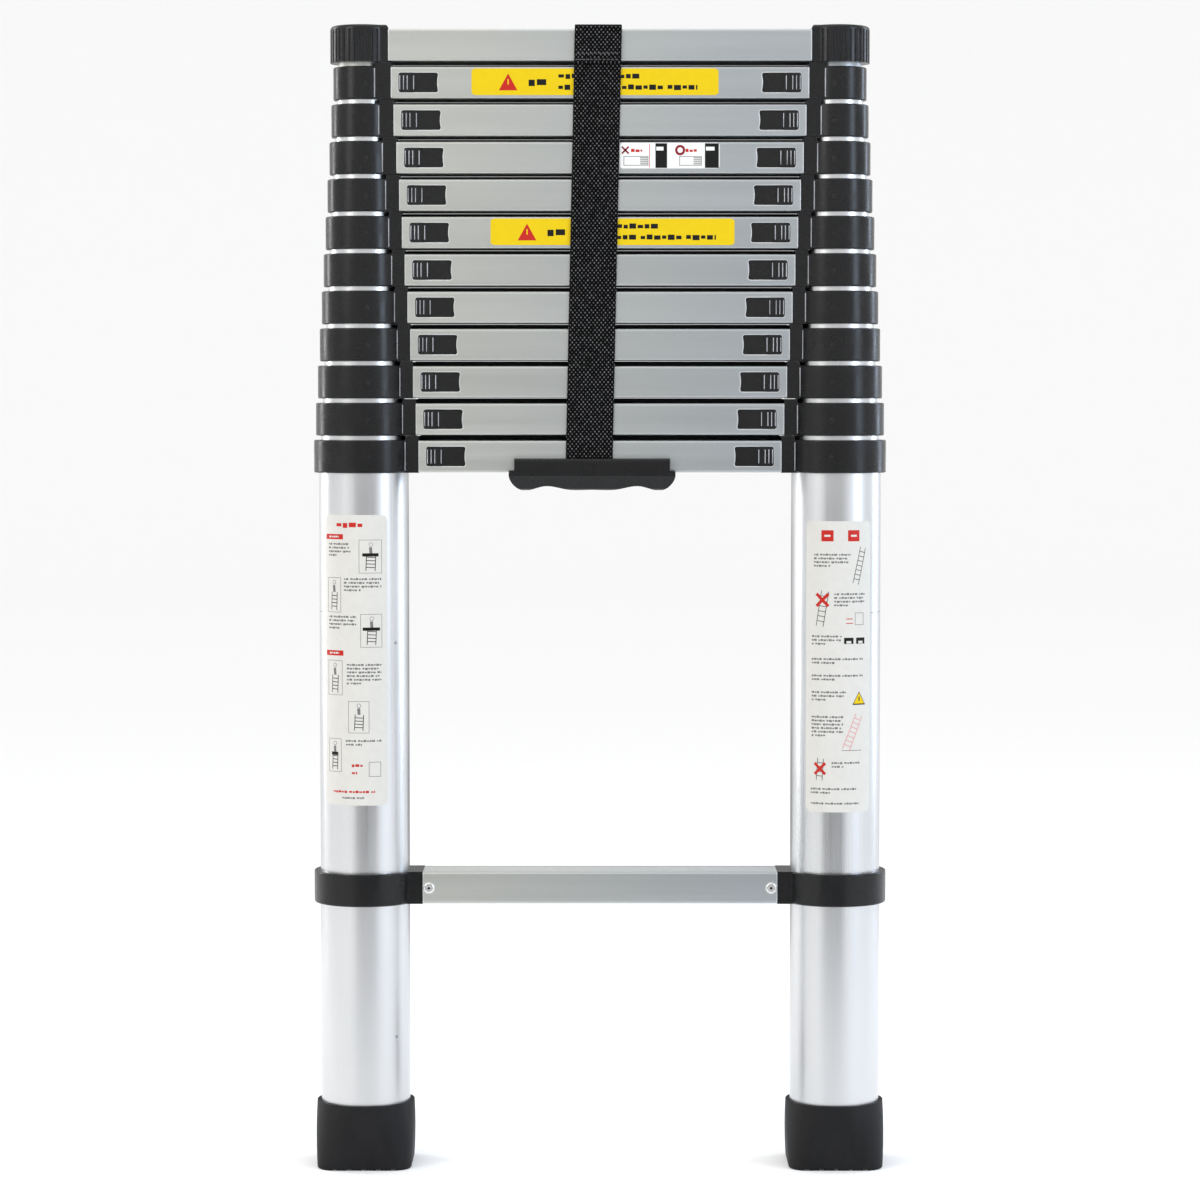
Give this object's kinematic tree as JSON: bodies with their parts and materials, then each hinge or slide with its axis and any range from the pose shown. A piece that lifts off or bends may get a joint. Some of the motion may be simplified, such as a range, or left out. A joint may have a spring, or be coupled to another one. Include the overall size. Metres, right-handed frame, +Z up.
{
  "type": "telescoping ladder",
  "caption": "Closed telescoping ladder: nested aluminium tubes, stacked rungs with thumb latches, a fixed bottom step, rubber feet, carrying handle and strap.",
  "frame": {"origin": "on the floor, midway between the two feet", "axes": "+Z up along the tubes, -Y towards the front with the latch buttons, +X to the right seen from the front"},
  "size_m": [0.468, 0.0832, 0.9286],
  "materials": {
    "tube_aluminium": "satin anodised",
    "rung_aluminium": "brushed along its length",
    "moulded_plastic": "moulded, slight sheen",
    "latch_plastic": "moulded, ribbed pad",
    "foot_rubber": "matte",
    "strap_webbing": "woven nylon"
  },
  "bodies": {
    "section_01": {"tubes_01": "tube_aluminium", "collars_01": "moulded_plastic", "lower_rungs": "rung_aluminium", "feet": "foot_rubber", "carry_handle": "moulded_plastic"},
    "section_02": {"tubes_02": "tube_aluminium", "collars_02": "moulded_plastic", "rung_02": "rung_aluminium"},
    "section_03": {"tubes_03": "tube_aluminium", "collars_03": "moulded_plastic", "rung_03": "rung_aluminium"},
    "section_04": {"tubes_04": "tube_aluminium", "collars_04": "moulded_plastic", "rung_04": "rung_aluminium"},
    "section_05": {"tubes_05": "tube_aluminium", "collars_05": "moulded_plastic", "rung_05": "rung_aluminium"},
    "section_06": {"tubes_06": "tube_aluminium", "collars_06": "moulded_plastic", "rung_06": "rung_aluminium"},
    "section_07": {"tubes_07": "tube_aluminium", "collars_07": "moulded_plastic", "rung_07": "rung_aluminium"},
    "section_08": {"tubes_08": "tube_aluminium", "collars_08": "moulded_plastic", "rung_08": "rung_aluminium"},
    "section_09": {"tubes_09": "tube_aluminium", "collars_09": "moulded_plastic", "rung_09": "rung_aluminium"},
    "section_10": {"tubes_10": "tube_aluminium", "collars_10": "moulded_plastic", "rung_10": "rung_aluminium"},
    "section_11": {"tubes_11": "tube_aluminium", "collars_11": "moulded_plastic", "rung_11": "rung_aluminium"},
    "section_12": {"top_frame": "rung_aluminium", "top_caps": "moulded_plastic"},
    "strap": {"carry_strap": "strap_webbing"},
    "button_left_01": {"latch_left_01": "latch_plastic"},
    "button_right_01": {"latch_right_01": "latch_plastic"},
    "button_left_02": {"latch_left_02": "latch_plastic"},
    "button_right_02": {"latch_right_02": "latch_plastic"},
    "button_left_03": {"latch_left_03": "latch_plastic"},
    "button_right_03": {"latch_right_03": "latch_plastic"},
    "button_left_04": {"latch_left_04": "latch_plastic"},
    "button_right_04": {"latch_right_04": "latch_plastic"},
    "button_left_05": {"latch_left_05": "latch_plastic"},
    "button_right_05": {"latch_right_05": "latch_plastic"},
    "button_left_06": {"latch_left_06": "latch_plastic"},
    "button_right_06": {"latch_right_06": "latch_plastic"},
    "button_left_07": {"latch_left_07": "latch_plastic"},
    "button_right_07": {"latch_right_07": "latch_plastic"},
    "button_left_08": {"latch_left_08": "latch_plastic"},
    "button_right_08": {"latch_right_08": "latch_plastic"},
    "button_left_09": {"latch_left_09": "latch_plastic"},
    "button_right_09": {"latch_right_09": "latch_plastic"},
    "button_left_10": {"latch_left_10": "latch_plastic"},
    "button_right_10": {"latch_right_10": "latch_plastic"},
    "button_left_11": {"latch_left_11": "latch_plastic"},
    "button_right_11": {"latch_right_11": "latch_plastic"}
  },
  "joints": [
    {"name": "section_02_slide", "type": "slide", "parent": "section_01", "child": "section_02", "axis": [0, 0, 1], "range_m": [0, 0.262]},
    {"name": "section_03_slide", "type": "slide", "parent": "section_02", "child": "section_03", "axis": [0, 0, 1], "range_m": [0, 0.262]},
    {"name": "section_04_slide", "type": "slide", "parent": "section_03", "child": "section_04", "axis": [0, 0, 1], "range_m": [0, 0.262]},
    {"name": "section_05_slide", "type": "slide", "parent": "section_04", "child": "section_05", "axis": [0, 0, 1], "range_m": [0, 0.262]},
    {"name": "section_06_slide", "type": "slide", "parent": "section_05", "child": "section_06", "axis": [0, 0, 1], "range_m": [0, 0.262]},
    {"name": "section_07_slide", "type": "slide", "parent": "section_06", "child": "section_07", "axis": [0, 0, 1], "range_m": [0, 0.262]},
    {"name": "section_08_slide", "type": "slide", "parent": "section_07", "child": "section_08", "axis": [0, 0, 1], "range_m": [0, 0.262]},
    {"name": "section_09_slide", "type": "slide", "parent": "section_08", "child": "section_09", "axis": [0, 0, 1], "range_m": [0, 0.262]},
    {"name": "section_10_slide", "type": "slide", "parent": "section_09", "child": "section_10", "axis": [0, 0, 1], "range_m": [0, 0.262]},
    {"name": "section_11_slide", "type": "slide", "parent": "section_10", "child": "section_11", "axis": [0, 0, 1], "range_m": [0, 0.262]},
    {"name": "section_12_slide", "type": "slide", "parent": "section_11", "child": "section_12", "axis": [0, 0, 1], "range_m": [0, 0.262]},
    {"name": "strap_lift", "type": "slide", "parent": "section_12", "child": "strap", "axis": [0, 0, 1], "range_m": [0, 0.4]},
    {"name": "button_left_01_press", "type": "slide", "parent": "section_01", "child": "button_left_01", "axis": [1, 0, 0], "range_m": [0, 0.0065], "stiffness_N_per_m": 800, "springref_m": -0.008},
    {"name": "button_right_01_press", "type": "slide", "parent": "section_01", "child": "button_right_01", "axis": [-1, 0, 0], "range_m": [0, 0.0065], "stiffness_N_per_m": 800, "springref_m": -0.008},
    {"name": "button_left_02_press", "type": "slide", "parent": "section_02", "child": "button_left_02", "axis": [1, 0, 0], "range_m": [0, 0.0065], "stiffness_N_per_m": 800, "springref_m": -0.008},
    {"name": "button_right_02_press", "type": "slide", "parent": "section_02", "child": "button_right_02", "axis": [-1, 0, 0], "range_m": [0, 0.0065], "stiffness_N_per_m": 800, "springref_m": -0.008},
    {"name": "button_left_03_press", "type": "slide", "parent": "section_03", "child": "button_left_03", "axis": [1, 0, 0], "range_m": [0, 0.0065], "stiffness_N_per_m": 800, "springref_m": -0.008},
    {"name": "button_right_03_press", "type": "slide", "parent": "section_03", "child": "button_right_03", "axis": [-1, 0, 0], "range_m": [0, 0.0065], "stiffness_N_per_m": 800, "springref_m": -0.008},
    {"name": "button_left_04_press", "type": "slide", "parent": "section_04", "child": "button_left_04", "axis": [1, 0, 0], "range_m": [0, 0.0065], "stiffness_N_per_m": 800, "springref_m": -0.008},
    {"name": "button_right_04_press", "type": "slide", "parent": "section_04", "child": "button_right_04", "axis": [-1, 0, 0], "range_m": [0, 0.0065], "stiffness_N_per_m": 800, "springref_m": -0.008},
    {"name": "button_left_05_press", "type": "slide", "parent": "section_05", "child": "button_left_05", "axis": [1, 0, 0], "range_m": [0, 0.0065], "stiffness_N_per_m": 800, "springref_m": -0.008},
    {"name": "button_right_05_press", "type": "slide", "parent": "section_05", "child": "button_right_05", "axis": [-1, 0, 0], "range_m": [0, 0.0065], "stiffness_N_per_m": 800, "springref_m": -0.008},
    {"name": "button_left_06_press", "type": "slide", "parent": "section_06", "child": "button_left_06", "axis": [1, 0, 0], "range_m": [0, 0.0065], "stiffness_N_per_m": 800, "springref_m": -0.008},
    {"name": "button_right_06_press", "type": "slide", "parent": "section_06", "child": "button_right_06", "axis": [-1, 0, 0], "range_m": [0, 0.0065], "stiffness_N_per_m": 800, "springref_m": -0.008},
    {"name": "button_left_07_press", "type": "slide", "parent": "section_07", "child": "button_left_07", "axis": [1, 0, 0], "range_m": [0, 0.0065], "stiffness_N_per_m": 800, "springref_m": -0.008},
    {"name": "button_right_07_press", "type": "slide", "parent": "section_07", "child": "button_right_07", "axis": [-1, 0, 0], "range_m": [0, 0.0065], "stiffness_N_per_m": 800, "springref_m": -0.008},
    {"name": "button_left_08_press", "type": "slide", "parent": "section_08", "child": "button_left_08", "axis": [1, 0, 0], "range_m": [0, 0.0065], "stiffness_N_per_m": 800, "springref_m": -0.008},
    {"name": "button_right_08_press", "type": "slide", "parent": "section_08", "child": "button_right_08", "axis": [-1, 0, 0], "range_m": [0, 0.0065], "stiffness_N_per_m": 800, "springref_m": -0.008},
    {"name": "button_left_09_press", "type": "slide", "parent": "section_09", "child": "button_left_09", "axis": [1, 0, 0], "range_m": [0, 0.0065], "stiffness_N_per_m": 800, "springref_m": -0.008},
    {"name": "button_right_09_press", "type": "slide", "parent": "section_09", "child": "button_right_09", "axis": [-1, 0, 0], "range_m": [0, 0.0065], "stiffness_N_per_m": 800, "springref_m": -0.008},
    {"name": "button_left_10_press", "type": "slide", "parent": "section_10", "child": "button_left_10", "axis": [1, 0, 0], "range_m": [0, 0.0065], "stiffness_N_per_m": 800, "springref_m": -0.008},
    {"name": "button_right_10_press", "type": "slide", "parent": "section_10", "child": "button_right_10", "axis": [-1, 0, 0], "range_m": [0, 0.0065], "stiffness_N_per_m": 800, "springref_m": -0.008},
    {"name": "button_left_11_press", "type": "slide", "parent": "section_11", "child": "button_left_11", "axis": [1, 0, 0], "range_m": [0, 0.0065], "stiffness_N_per_m": 800, "springref_m": -0.008},
    {"name": "button_right_11_press", "type": "slide", "parent": "section_11", "child": "button_right_11", "axis": [-1, 0, 0], "range_m": [0, 0.0065], "stiffness_N_per_m": 800, "springref_m": -0.008}
  ]
}
